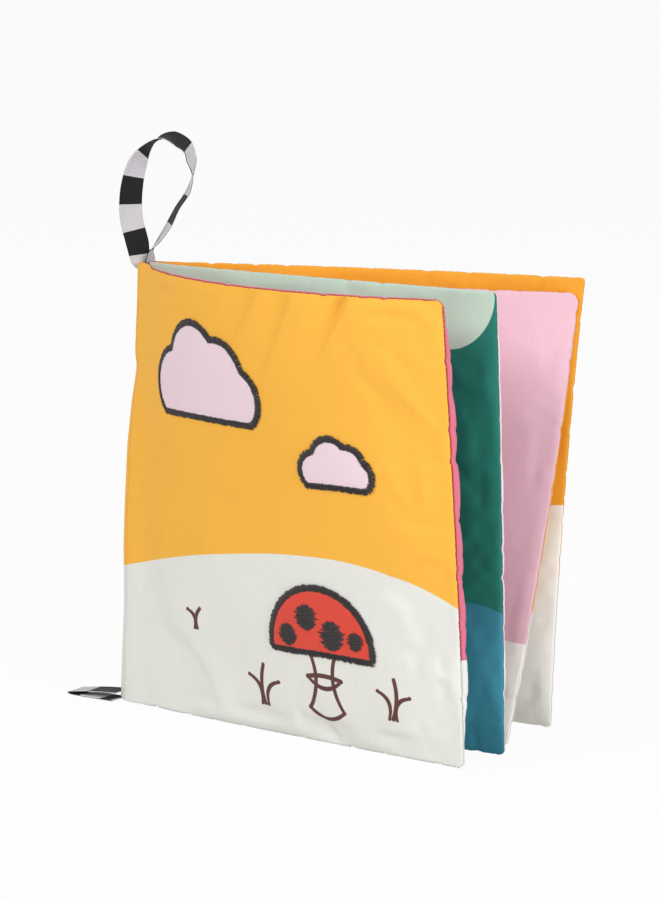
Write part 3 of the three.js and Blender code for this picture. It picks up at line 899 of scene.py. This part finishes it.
patch_cloth, patch_under = 0.0004, 0.00004
patch_crease, patch_crease_reach, patch_creases = 0.00014, 0.004, (23, 9)
patch_rings = np.array([0.12, 0.26, 0.4, 0.54, 0.66, 0.76, 0.84, 0.9, 0.94, 0.97, 0.99, 1])
patch_rays = 300
cloud_pink, felt_red = "EDD6DF", "DE4A3A"
fibre_scale, mottle_scale = 2600.0, 160.0
fibre_tint, mottle_tint, felt_relief = 0.34, 0.16, (0.7, 0.0002)
cloud_discs = [(-0.56, -0.08, 0.44), (-0.12, 0.2, 0.52), (0.36, 0.12, 0.44), (0.62, -0.12, 0.38),
               (0.06, -0.3, 0.4)]
cap_discs = [(0, -0.3, 1.02), (-0.66, -0.14, 0.32), (0.66, -0.14, 0.32)]
# Each patch: its place and its width as shares of the leaf's side, its discs, how far down its
# straight base lies, and how far its middle stands up.
patches = {name: dict(zip(("place", "width", "discs", "base", "full"), patch)) for name, *patch in (
    ("large_cloud", (0.356, 0.772), 0.367, cloud_discs, 0.42, 0.0011),
    ("small_cloud", (0.728, 0.622), 0.189, cloud_discs, 0.42, 0.0008),
    ("toadstool_cap", (0.644, 0.256), 0.278, cap_discs, 0.36, 0.0009),
)}


def patch_outline(patch, angles):
    """How far the edge of a patch lies from its middle, at each angle."""
    farthest = np.zeros_like(angles)
    for x, y, radius in patch["discs"]:
        aside = y * np.cos(angles) - x * np.sin(angles)
        root = np.sqrt(np.maximum(radius**2 - aside**2, 0))
        reached = x * np.cos(angles) + y * np.sin(angles) + root
        farthest = np.where(np.abs(aside) < radius, np.maximum(farthest, reached), farthest)
    down = np.maximum(-np.sin(angles), 1e-6)
    farthest = np.where(np.sin(angles) < 0, np.minimum(farthest, patch["base"] / down), farthest)
    return farthest * patch["width"] * leaf_side / 2


def on_cover(patch, x, y, lift):
    """A point over the cover, at a place measured from the middle of a patch."""
    return cloth_point("front_cover", -1, patch["place"][0] * leaf_side + x,
                       patch["place"][1] * leaf_side + y, lift)


def patch_mesh(name, patch, material):
    """A patch of two layers of points, closed round its edge, with the size and area of its cut."""
    angles = np.linspace(0, 2 * np.pi, patch_rays, endpoint=False)
    outline = patch_outline(patch, angles)
    share = patch_rings[:, None]
    x, y = share * outline * np.cos(angles), share * outline * np.sin(angles)
    fine, broad = patch_creases
    creases = (np.sin(angles * fine) * np.sin(angles * broad + 1)
               * np.exp(-(1 - share) * outline / patch_crease_reach))
    puff = patch["full"] * np.sqrt(1 - share**2) + patch_crease * creases * np.sin(np.pi * share)
    levels = []
    for lift in (patch_cloth, patch_under):
        middle = on_cover(patch, np.zeros(1), np.zeros(1), np.array([lift + patch["full"]]))
        levels += [middle, on_cover(patch, x, y, lift + puff).reshape(-1, 3)]
    cut = np.concatenate([[[0, 0]], np.stack([x, y], -1).reshape(-1, 2)])
    index = 1 + np.arange(share.size * patch_rays).reshape(-1, patch_rays)
    below = len(cut)
    quads, rim = ring_quads(index), ring_quads(np.stack([index[-1], index[-1] + below]))
    fan = np.stack([0 * index[0], np.roll(index[0], -1), index[0]], -1)
    faces = [*quads[:, ::-1], *(quads + below), *rim[:, ::-1], *fan[:, ::-1], *(fan + below)]
    made = mesh_object(name, np.concatenate(levels), faces, np.tile(cut, (2, 1)), material)
    area = float(np.sum(outline**2) * np.pi / patch_rays)
    return made, (float(np.ptp(x)), float(np.ptp(y))), area


patch_satin = satin("patch_pink_satin", lambda nodes, along, up: paint(cloud_pink))
red_felt, nodes = new_material("red_felt")
place = nodes.node("ShaderNodeUVMap", uv_map="cloth")
fibres, mottle = nodes.noise(place, fibre_scale, 4.0, 0.6), nodes.noise(place, mottle_scale, 3.0)
value = (fibres - 0.5) * fibre_tint + (mottle - 0.5) * mottle_tint + 1.0
nodes.finish(paint(felt_red), value, fibres, felt_relief, Roughness=0.92, Sheen_Weight=0.25,
             Specular_IOR_Level=0.15)

for name, patch in patches.items():
    slot, material = ("patch_felt", red_felt) if "cap" in name else ("patch_pink", patch_satin)
    cloth, cut, area = patch_mesh(name + "_cloth", patch, material)
    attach(cloth, "front_cover")
    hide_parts(name + "_patch")


# Stitching: thick dark thread, worked side by side over the edge of each patch as satin stitch,
# and as round spots on the toadstool's cap.

satin_pitch, satin_half, satin_bow, satin_radius = 0.00048, 0.0016, 0.0012, 0.00027
satin_overlap = 0.4
stitch_lengths = (0.76, 1.16)
edge_lift, edge_points = 0.0003, 720
cloud_turn, cap_turn = 0.18, 0.05
lint_scale, lint_tint, thread_relief = 5200.0, 0.4, (0.5, 0.00005)
spot_reach, spot_points, spot_height = 0.96, 25, 0.8
cap_spots = [(-0.62, -0.10, 0.17), (-0.22, 0.22, 0.20), (0.25, -0.02, 0.23), (0.70, -0.06, 0.14)]


def thread_material(name, code, foot_code=None, foot_height=0.0):
    """Twisted thread, and another thread below a height where the cloth is another colour."""
    material, nodes = new_material(name)
    place = nodes.node("ShaderNodeTexCoord", out="Object")
    lint = nodes.noise(place, lint_scale, 3.0)
    height = nodes.node("ShaderNodeSeparateXYZ", place, out=2)
    dyed = nodes.mixed(nodes.step(height, foot_height, print_softness), paint(foot_code or code),
                       paint(code))
    nodes.finish(dyed, lint * lint_tint + (1 - lint_tint / 2), lint, thread_relief, Roughness=0.5,
                 Sheen_Weight=0.1, Specular_IOR_Level=0.4)
    return material


def stitch_tree():
    """Threads set side by side along a path. Each bows up and lies across the path."""
    tree = bpy.data.node_groups.new("rows_of_stitches", "GeometryNodeTree")
    numbers = ("Pitch", "Half Length", "Bow", "Thread Radius", "Heading", "Turn")
    sockets = {"Path": "Geometry", **dict.fromkeys(numbers, "Float"), "Seed": "Int",
               "Thread": "Material"}
    for name, kind in sockets.items():
        tree.interface.new_socket(name, in_out="INPUT", socket_type="NodeSocket" + kind)
    tree.interface.new_socket("Stitches", in_out="OUTPUT", socket_type="NodeSocketGeometry")
    nodes = Nodes(tree)
    node = nodes.node
    given = {name: node("NodeGroupInput", out=name) for name in sockets}

    def direction(x=0.0, y=0.0, z=0.0):
        return node("ShaderNodeCombineXYZ", x, y, z)

    def random_number(low, high):
        return node("FunctionNodeRandomValue", out=1, data_type="FLOAT",
                    named={2: low, 3: high, "Seed": given["Seed"]})

    bow = node("GeometryNodeCurveQuadraticBezier", named={
        "Resolution": 5, "Start": direction(x=given["Half Length"] * -1.0),
        "Middle": direction(z=given["Bow"]), "End": direction(x=given["Half Length"])})
    round_thread = node("GeometryNodeCurvePrimitiveCircle",
                        named={"Resolution": 5, "Radius": given["Thread Radius"]})
    thread = node("GeometryNodeCurveToMesh",
                  named={"Curve": bow, "Profile Curve": round_thread, "Fill Caps": True})
    path = node("GeometryNodeMeshToCurve", named={"Mesh": given["Path"]})
    points = node("GeometryNodeResampleCurve", named={"Curve": path, "Length": given["Pitch"]},
                  mode="LENGTH")
    outward, spread = [node("GeometryNodeInputNamedAttribute", named={"Name": name}, data_type=kind)
                       for name, kind in (("outward", "FLOAT_VECTOR"), ("spread", "FLOAT"))]
    stand = node("FunctionNodeAlignRotationToVector", named={"Vector": outward}, axis="Z")
    follow = node("FunctionNodeAlignRotationToVector", axis="Y", pivot_axis="Z",
                  named={"Rotation": stand, "Vector": node("GeometryNodeInputTangent")})
    turned = random_number(given["Turn"] * -1.0, given["Turn"])
    rotate = node("FunctionNodeRotateRotation", follow, direction(z=given["Heading"] + turned),
                  rotation_space="LOCAL")
    scale = direction(random_number(*stitch_lengths) * spread, 1.0, 1.0)
    stitches = node("GeometryNodeInstanceOnPoints", named={
        "Points": points, "Instance": thread, "Rotation": rotate, "Scale": scale})
    real = node("GeometryNodeRealizeInstances", named={"Geometry": stitches})
    node("NodeGroupOutput", node("GeometryNodeSetMaterial",
                                 named={"Geometry": real, "Material": given["Thread"]}))
    return tree


rows_of_stitches = stitch_tree()


def stitched(name, paths, body, material, **values):
    """A mesh of stitches along paths. A path can be closed and can have its own spreads."""
    points, edges, outward, spread = [], [], [], []
    for path in paths:
        first, count = len(points), len(path["points"])
        points += path["points"].tolist()
        edges += [(first + i, first + i + 1) for i in range(count - 1)]
        if path.get("closed"):
            edges.append((first + count - 1, first))
        outward += path["outward"].tolist()
        spread += list(path.get("spread", np.ones(count)))
    mesh = bpy.data.meshes.new(name + "_path")
    mesh.from_pydata(points, edges, [])
    for attribute, kind, field, values_there in (("outward", "FLOAT_VECTOR", "vector", outward),
                                                 ("spread", "FLOAT", "value", spread)):
        layer = mesh.attributes.new(attribute, kind, "POINT")
        layer.data.foreach_set(field, np.ravel(values_there).astype(float))
    carrier = add_object(name + "_path", mesh)
    modifier = carrier.modifiers.new("stitches", "NODES")
    modifier.node_group = rows_of_stitches
    values["thread"] = material
    for socket in rows_of_stitches.interface.items_tree:
        key = socket.name.lower().replace(" ", "_")
        if socket.in_out == "INPUT" and key in values:
            modifier[socket.identifier] = values[key]
    graph = bpy.context.evaluated_depsgraph_get()
    made_mesh = bpy.data.meshes.new_from_object(carrier.evaluated_get(graph))
    made_mesh.name = name
    bpy.data.meshes.remove(mesh)
    made_mesh.shade_smooth()
    made = add_object(name, made_mesh)
    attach(made, body)
    return made


def surface_path(patch, x, y, lift, closed=False):
    """Points of a path over the cover and the way the cover faces at each."""
    small = 0.0004
    lift = np.full_like(x, lift)
    run = on_cover(patch, x + small, y, lift) - on_cover(patch, x - small, y, lift)
    rise = on_cover(patch, x, y + small, lift) - on_cover(patch, x, y - small, lift)
    outward = unit(np.cross(run, rise))
    return dict(points=on_cover(patch, x, y, lift), outward=outward, closed=closed)


dark_thread = thread_material("dark_thread", "2A2426")
for seed, (name, patch) in enumerate(patches.items()):
    angles = np.linspace(0, 2 * np.pi, edge_points, endpoint=False)
    outline = patch_outline(patch, angles) - satin_half * satin_overlap
    paths = [surface_path(patch, outline * np.cos(angles), outline * np.sin(angles), edge_lift,
                          closed=True)]
    half_width = patch["width"] * leaf_side / 2
    for x, y, radius in cap_spots if name == "toadstool_cap" else ():
        t = np.linspace(-spot_reach, spot_reach, spot_points)
        spot = surface_path(patch, np.full_like(t, x * half_width), (y + t * radius) * half_width,
                            patch_cloth + patch["full"] * spot_height)
        spot["spread"] = np.sqrt(1 - t**2) * radius * half_width / satin_half
        paths.append(spot)
    stitching = stitched(name + "_stitches", paths, "front_cover", dark_thread, pitch=satin_pitch,
                         half_length=satin_half, bow=satin_bow, thread_radius=satin_radius,
                         heading=0.0, turn=cloud_turn if len(paths) == 1 else cap_turn, seed=seed)
    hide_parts(name + "_stitching")


# Seam thread: the two cloths of a leaf are sewn edge to edge from inside. Where the stitches pull,
# a short length of thread shows in the seam. The front cover's thread is dark red. A row of
# stitches down the middle opening holds the whole book together.

seam_thread_bow = 0.00022
seam_end_margin, seam_inside, seam_points = 0.003, 0.006, 170
gutter_end_margin, gutter_points, gutter_face = 0.004, 120, 0.0025
red_thread = dict(pitch=0.0018, half_length=0.00066, thread_radius=0.00025, turn=0.3)
plain_thread = dict(pitch=0.0032, half_length=0.0010, thread_radius=0.00012, turn=0.12)
gutter_thread = dict(pitch=0.0034, half_length=0.0013, thread_radius=0.00022, turn=0.05)
# For each leaf: its thread, its thread at the foot, the share of the height at which they meet,
# as the printed fields do there, its stitches and how deep they lie.
seam_threads = {
    "front_cover": ("B4323A", "DAD8CF", 0.235, red_thread, -0.0001),
    "first_leaf": ("DCE0DC", "DCE0DC", 0, plain_thread, 0.0003),
    "second_leaf": ("EAC4CC", "E6E0D4", 0.23, plain_thread, 0.0003),
    "back_cover": ("EBA545", "E6E0D4", 0.5, plain_thread, 0.0003),
}


def seam_paths(leaf, sunk):
    """The three sewn sides of a leaf, each as a line in the groove between its two cloths."""
    run = np.linspace(seam_end_margin, leaf_side - seam_end_margin, seam_points)
    edge, none = np.full_like(run, leaf_side), np.zeros_like(run)
    paths = []
    for along, up in ((run, none), (edge, run), (run, edge)):
        middle = (cloth_point(leaf, -1, along, up) + cloth_point(leaf, 1, along, up)) / 2
        inside, _ = leaf_centre(leaf, np.minimum(along, leaf_side - seam_inside),
                                np.clip(up, seam_inside, leaf_side - seam_inside))
        outward = unit(middle - inside)
        paths.append(dict(points=middle - outward * sunk, outward=outward))
    return paths


for leaf, seed in leaf_seeds.items():
    code, foot_code, foot_share, stitches, sunk = seam_threads[leaf]
    seam_thread = thread_material(leaf + "_thread", code, foot_code, foot_share * leaf_side)
    stitched(leaf + "_seam_thread", seam_paths(leaf, sunk), leaf, seam_thread, bow=seam_thread_bow,
             heading=math.pi / 2, seed=seed, **stitches)

gutter_run = np.linspace(gutter_end_margin, leaf_side - gutter_end_margin, gutter_points)
gutter_path = dict(points=spine_line(gutter_run) + np.array([gutter_face, 0, 0]),
                   outward=np.tile([1.0, 0, 0], (gutter_points, 1)))
gutter_pink = thread_material("gutter_thread", "E3B3C2")
stitched("middle_gutter_stitches", [gutter_path], "spine", gutter_pink, bow=seam_thread_bow,
         heading=math.pi / 2, seed=5, **gutter_thread)


# Ribbon loops: a flat woven ribbon with ribs across it, in bands of black and white that are the
# other way round on its back. One length stands up from the spine's head, one lies at its foot.

ribbon_width, ribbon_thickness = 0.0093, 0.00045
ribbon_row_steps = 10
back_of_ribbon, back_from, back_softness = 0.020, 0.017, 0.0001
rib_pitch, ribbon_thread_pitch = 0.00062, 0.00035
ribbon_black, ribbon_white = "1A191B", "C9C8CD"
rib_tint, ribbon_thread_tint, fluff_tint, fluff_scale = 0.045, 0.02, 0.06, 900.0
ribbon_thread_height, ribbon_relief = 0.4, (0.35, 0.00006)
# Round the ribbon's edge: shares of half its width and of half its thickness.
ribbon_ring = [(-1, -0.6), (-0.97, -1.5), (-0.9, -1.5), (-0.84, -1), (-0.4, -1), (0, -1), (0.4, -1),
               (0.84, -1), (0.9, -1.5), (0.97, -1.5), (1, -0.6)]
ribbon_ring = np.array(ribbon_ring + [(x, -y) for x, y in ribbon_ring[::-1]])
# Each row: shares of the reach, the depth and the height, the turn and the tilt, and the share of
# its width that the ribbon has there, because it is tucked together where it goes into the spine.
top_sizes, top_turn = (0.0195, 0.004, 0.051), math.radians(32)
top_rows = [
    (-0.02, -0.13, -0.07, 0, 0, 0.35), (-0.08, -0.13, 0, 0, 0, 0.84), (-0.14, -0.3, 0.14, 0, 0, 1),
    (-0.26, -0.6, 0.35, 8, 0, 1), (-0.25, -0.9, 0.56, 18, 0, 1), (-0.13, -0.9, 0.76, 34, 0, 1),
    (0.07, -0.6, 0.885, 62, 0, 1), (0.34, 0, 0.96, 86, 0, 1), (0.66, 0.6, 0.955, 88, 34, 1),
    (0.9, 1, 0.89, 78, 30, 1), (0.98, 1, 0.79, 68, 8, 1), (1, 0.9, 0.68, 90, 0, 1),
    (0.9, 0.7, 0.54, 100, 0, 1), (0.68, 0.5, 0.41, 100, 0, 1), (0.52, 0.4, 0.29, 104, 0, 1),
    (0.3, 0.3, 0.16, 98, 0, 1), (0.15, 0.2, 0.08, 84, 0, 0.95), (0.12, 0.13, 0, 64, 0, 0.8),
    (0.06, 0.13, -0.07, 44, 0, 0.4),
]
top_bands = (0.0062, 0.0164, 0.0273, 0.0381, 0.0480, 0.0570, 0.0708, 0.0815, 0.0905, 0.1040, 0.1165)
# Each row: shares of the length and of the rise, and how far the lower strand lies to the front.
bottom_length, bottom_rise = 0.021, 0.0027
bottom_rows = [(-0.1, 0, -0.0026), (0, 0, -0.0025), (0.25, 0, -0.0021), (0.55, 0, -0.0016),
               (0.8, 0, -0.0013), (0.93, 0.04, -0.0012), (1, 0.2, -0.0012), (0.93, 0.38, -0.0012),
               (0.8, 0.5, -0.0011), (0.55, 0.72, -0.0007), (0.25, 0.92, -0.0003), (0, 1, 0),
               (-0.1, 1, 0)]
bottom_bands = (0.0001, 0.0060, 0.0165, 0.0330)


def smooth_path(points):
    """Points of a smooth curve through given ones, which keeps to them closely at tight bends."""
    points = np.asarray(points, float)
    ends = np.concatenate([[2 * points[0] - points[1]], points, [2 * points[-1] - points[-2]]])
    found = []
    for i in range(len(points) - 1):
        p0, p1, p2, p3 = ends[i:i + 4]
        d0, d1, d2 = [math.sqrt(np.linalg.norm(b - a)) for a, b in ((p0, p1), (p1, p2), (p2, p3))]
        m1 = ((p1 - p0) / d0 - (p2 - p0) / (d0 + d1) + (p2 - p1) / d1) * d1
        m2 = ((p2 - p1) / d1 - (p3 - p1) / (d1 + d2) + (p3 - p2) / d2) * d1
        found += [curve_between(p1, m1, p2, m2, t)
                  for t in np.arange(ribbon_row_steps) / ribbon_row_steps]
    return np.array(found + [points[-1]])


def ribbon_material(name, band_edges, length):
    """Woven bands, white at the start, that change colour at the given lengths."""
    material, nodes = new_material(name)
    place, run, aside = nodes.cloth_place()
    bands = nodes.node("ShaderNodeValToRGB", run / length)
    ramp = bands.socket.node.color_ramp
    ramp.interpolation = "CONSTANT"
    for place_on_ramp, stop in enumerate(ramp.elements):
        stop.position, stop.color = place_on_ramp, (1, 1, 1, 1)
    for number, edge in enumerate(band_edges):
        white = number % 2
        ramp.elements.new(min(edge / length, 0.9999)).color = (white, white, white, 1)
    on_back = nodes.step(aside, back_from, back_softness)
    white = nodes.sum("ABSOLUTE", bands - on_back)
    ribs = nodes.sum("SINE", run * (2 * math.pi / rib_pitch))
    threads = nodes.sum("SINE", aside * (2 * math.pi / ribbon_thread_pitch))
    fluff = nodes.noise(place, fluff_scale, 3.0)
    value = ribs * rib_tint + threads * ribbon_thread_tint + (fluff - 0.5) * fluff_tint + 1.0
    nodes.finish(nodes.mixed(white, paint(ribbon_black), paint(ribbon_white)), value,
                 ribs + threads * ribbon_thread_height, ribbon_relief,
                 Roughness=0.7, Sheen_Weight=0.03, Specular_IOR_Level=0.2)
    return material


def ribbon(end, rows, base, heading, bands):
    """A ribbon through rows of places, with the turn and tilt in degrees and the width at each."""
    path = smooth_path([row[:3] for row in rows])
    row_numbers = np.arange(len(rows))
    share = np.linspace(0, len(rows) - 1, len(path))
    turn, tilt, wide = [np.interp(share, row_numbers, [row[i] for row in rows]) for i in (3, 4, 5)]
    turn, tilt = np.radians(turn), np.radians(tilt)
    tangent = unit(np.gradient(path, axis=0))
    across = np.stack([np.cos(turn), np.sin(turn), np.tan(tilt)], -1)
    across = unit(across - tangent * np.sum(across * tangent, 1, keepdims=True))
    outward = np.cross(tangent, across)
    points = (path[:, None] + across[:, None] * ribbon_ring[:, :1] * wide[:, None, None]
              * ribbon_width / 2 + outward[:, None] * ribbon_ring[:, 1:] * ribbon_thickness / 2)
    c, s = math.cos(heading), math.sin(heading)
    points = points @ np.array([[c, s, 0], [-s, c, 0], [0, 0, 1]]) + np.array(base)
    length = np.concatenate([[0], np.cumsum(np.linalg.norm(np.diff(path, axis=0), axis=1))])
    v = ribbon_ring[:, 0] * ribbon_width / 2 + np.where(ribbon_ring[:, 1] > 0, back_of_ribbon, 0)
    uv = np.stack(np.broadcast_arrays(length[:, None], v[None] + ribbon_width / 2), -1)
    woven = ribbon_material(end + "_ribbon_weave", bands, float(length[-1]))
    faces = tube_faces(len(path), len(ribbon_ring), flipped=True)
    made = mesh_object(end + "_ribbon", points.reshape(-1, 3), faces, uv.reshape(-1, 2), woven)
    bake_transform(made)
    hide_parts(end + "_ribbon_loop")


seat = (spine_lean.x, spine_lean.y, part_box("top_ribbon_loop")[0].z)
top_places = [(*np.multiply(row[:3], top_sizes), *row[3:]) for row in top_rows]
ribbon("top", top_places, seat, top_turn, top_bands)
bottom_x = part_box("bottom_ribbon_loop")[1].x
bottom_places = [(-x * bottom_length, aside, y * bottom_rise, 90, 0, 1)
                 for x, y, aside in bottom_rows]
ribbon("bottom", bottom_places, (bottom_x, -0.0015, 0.00045), 0, bottom_bands)
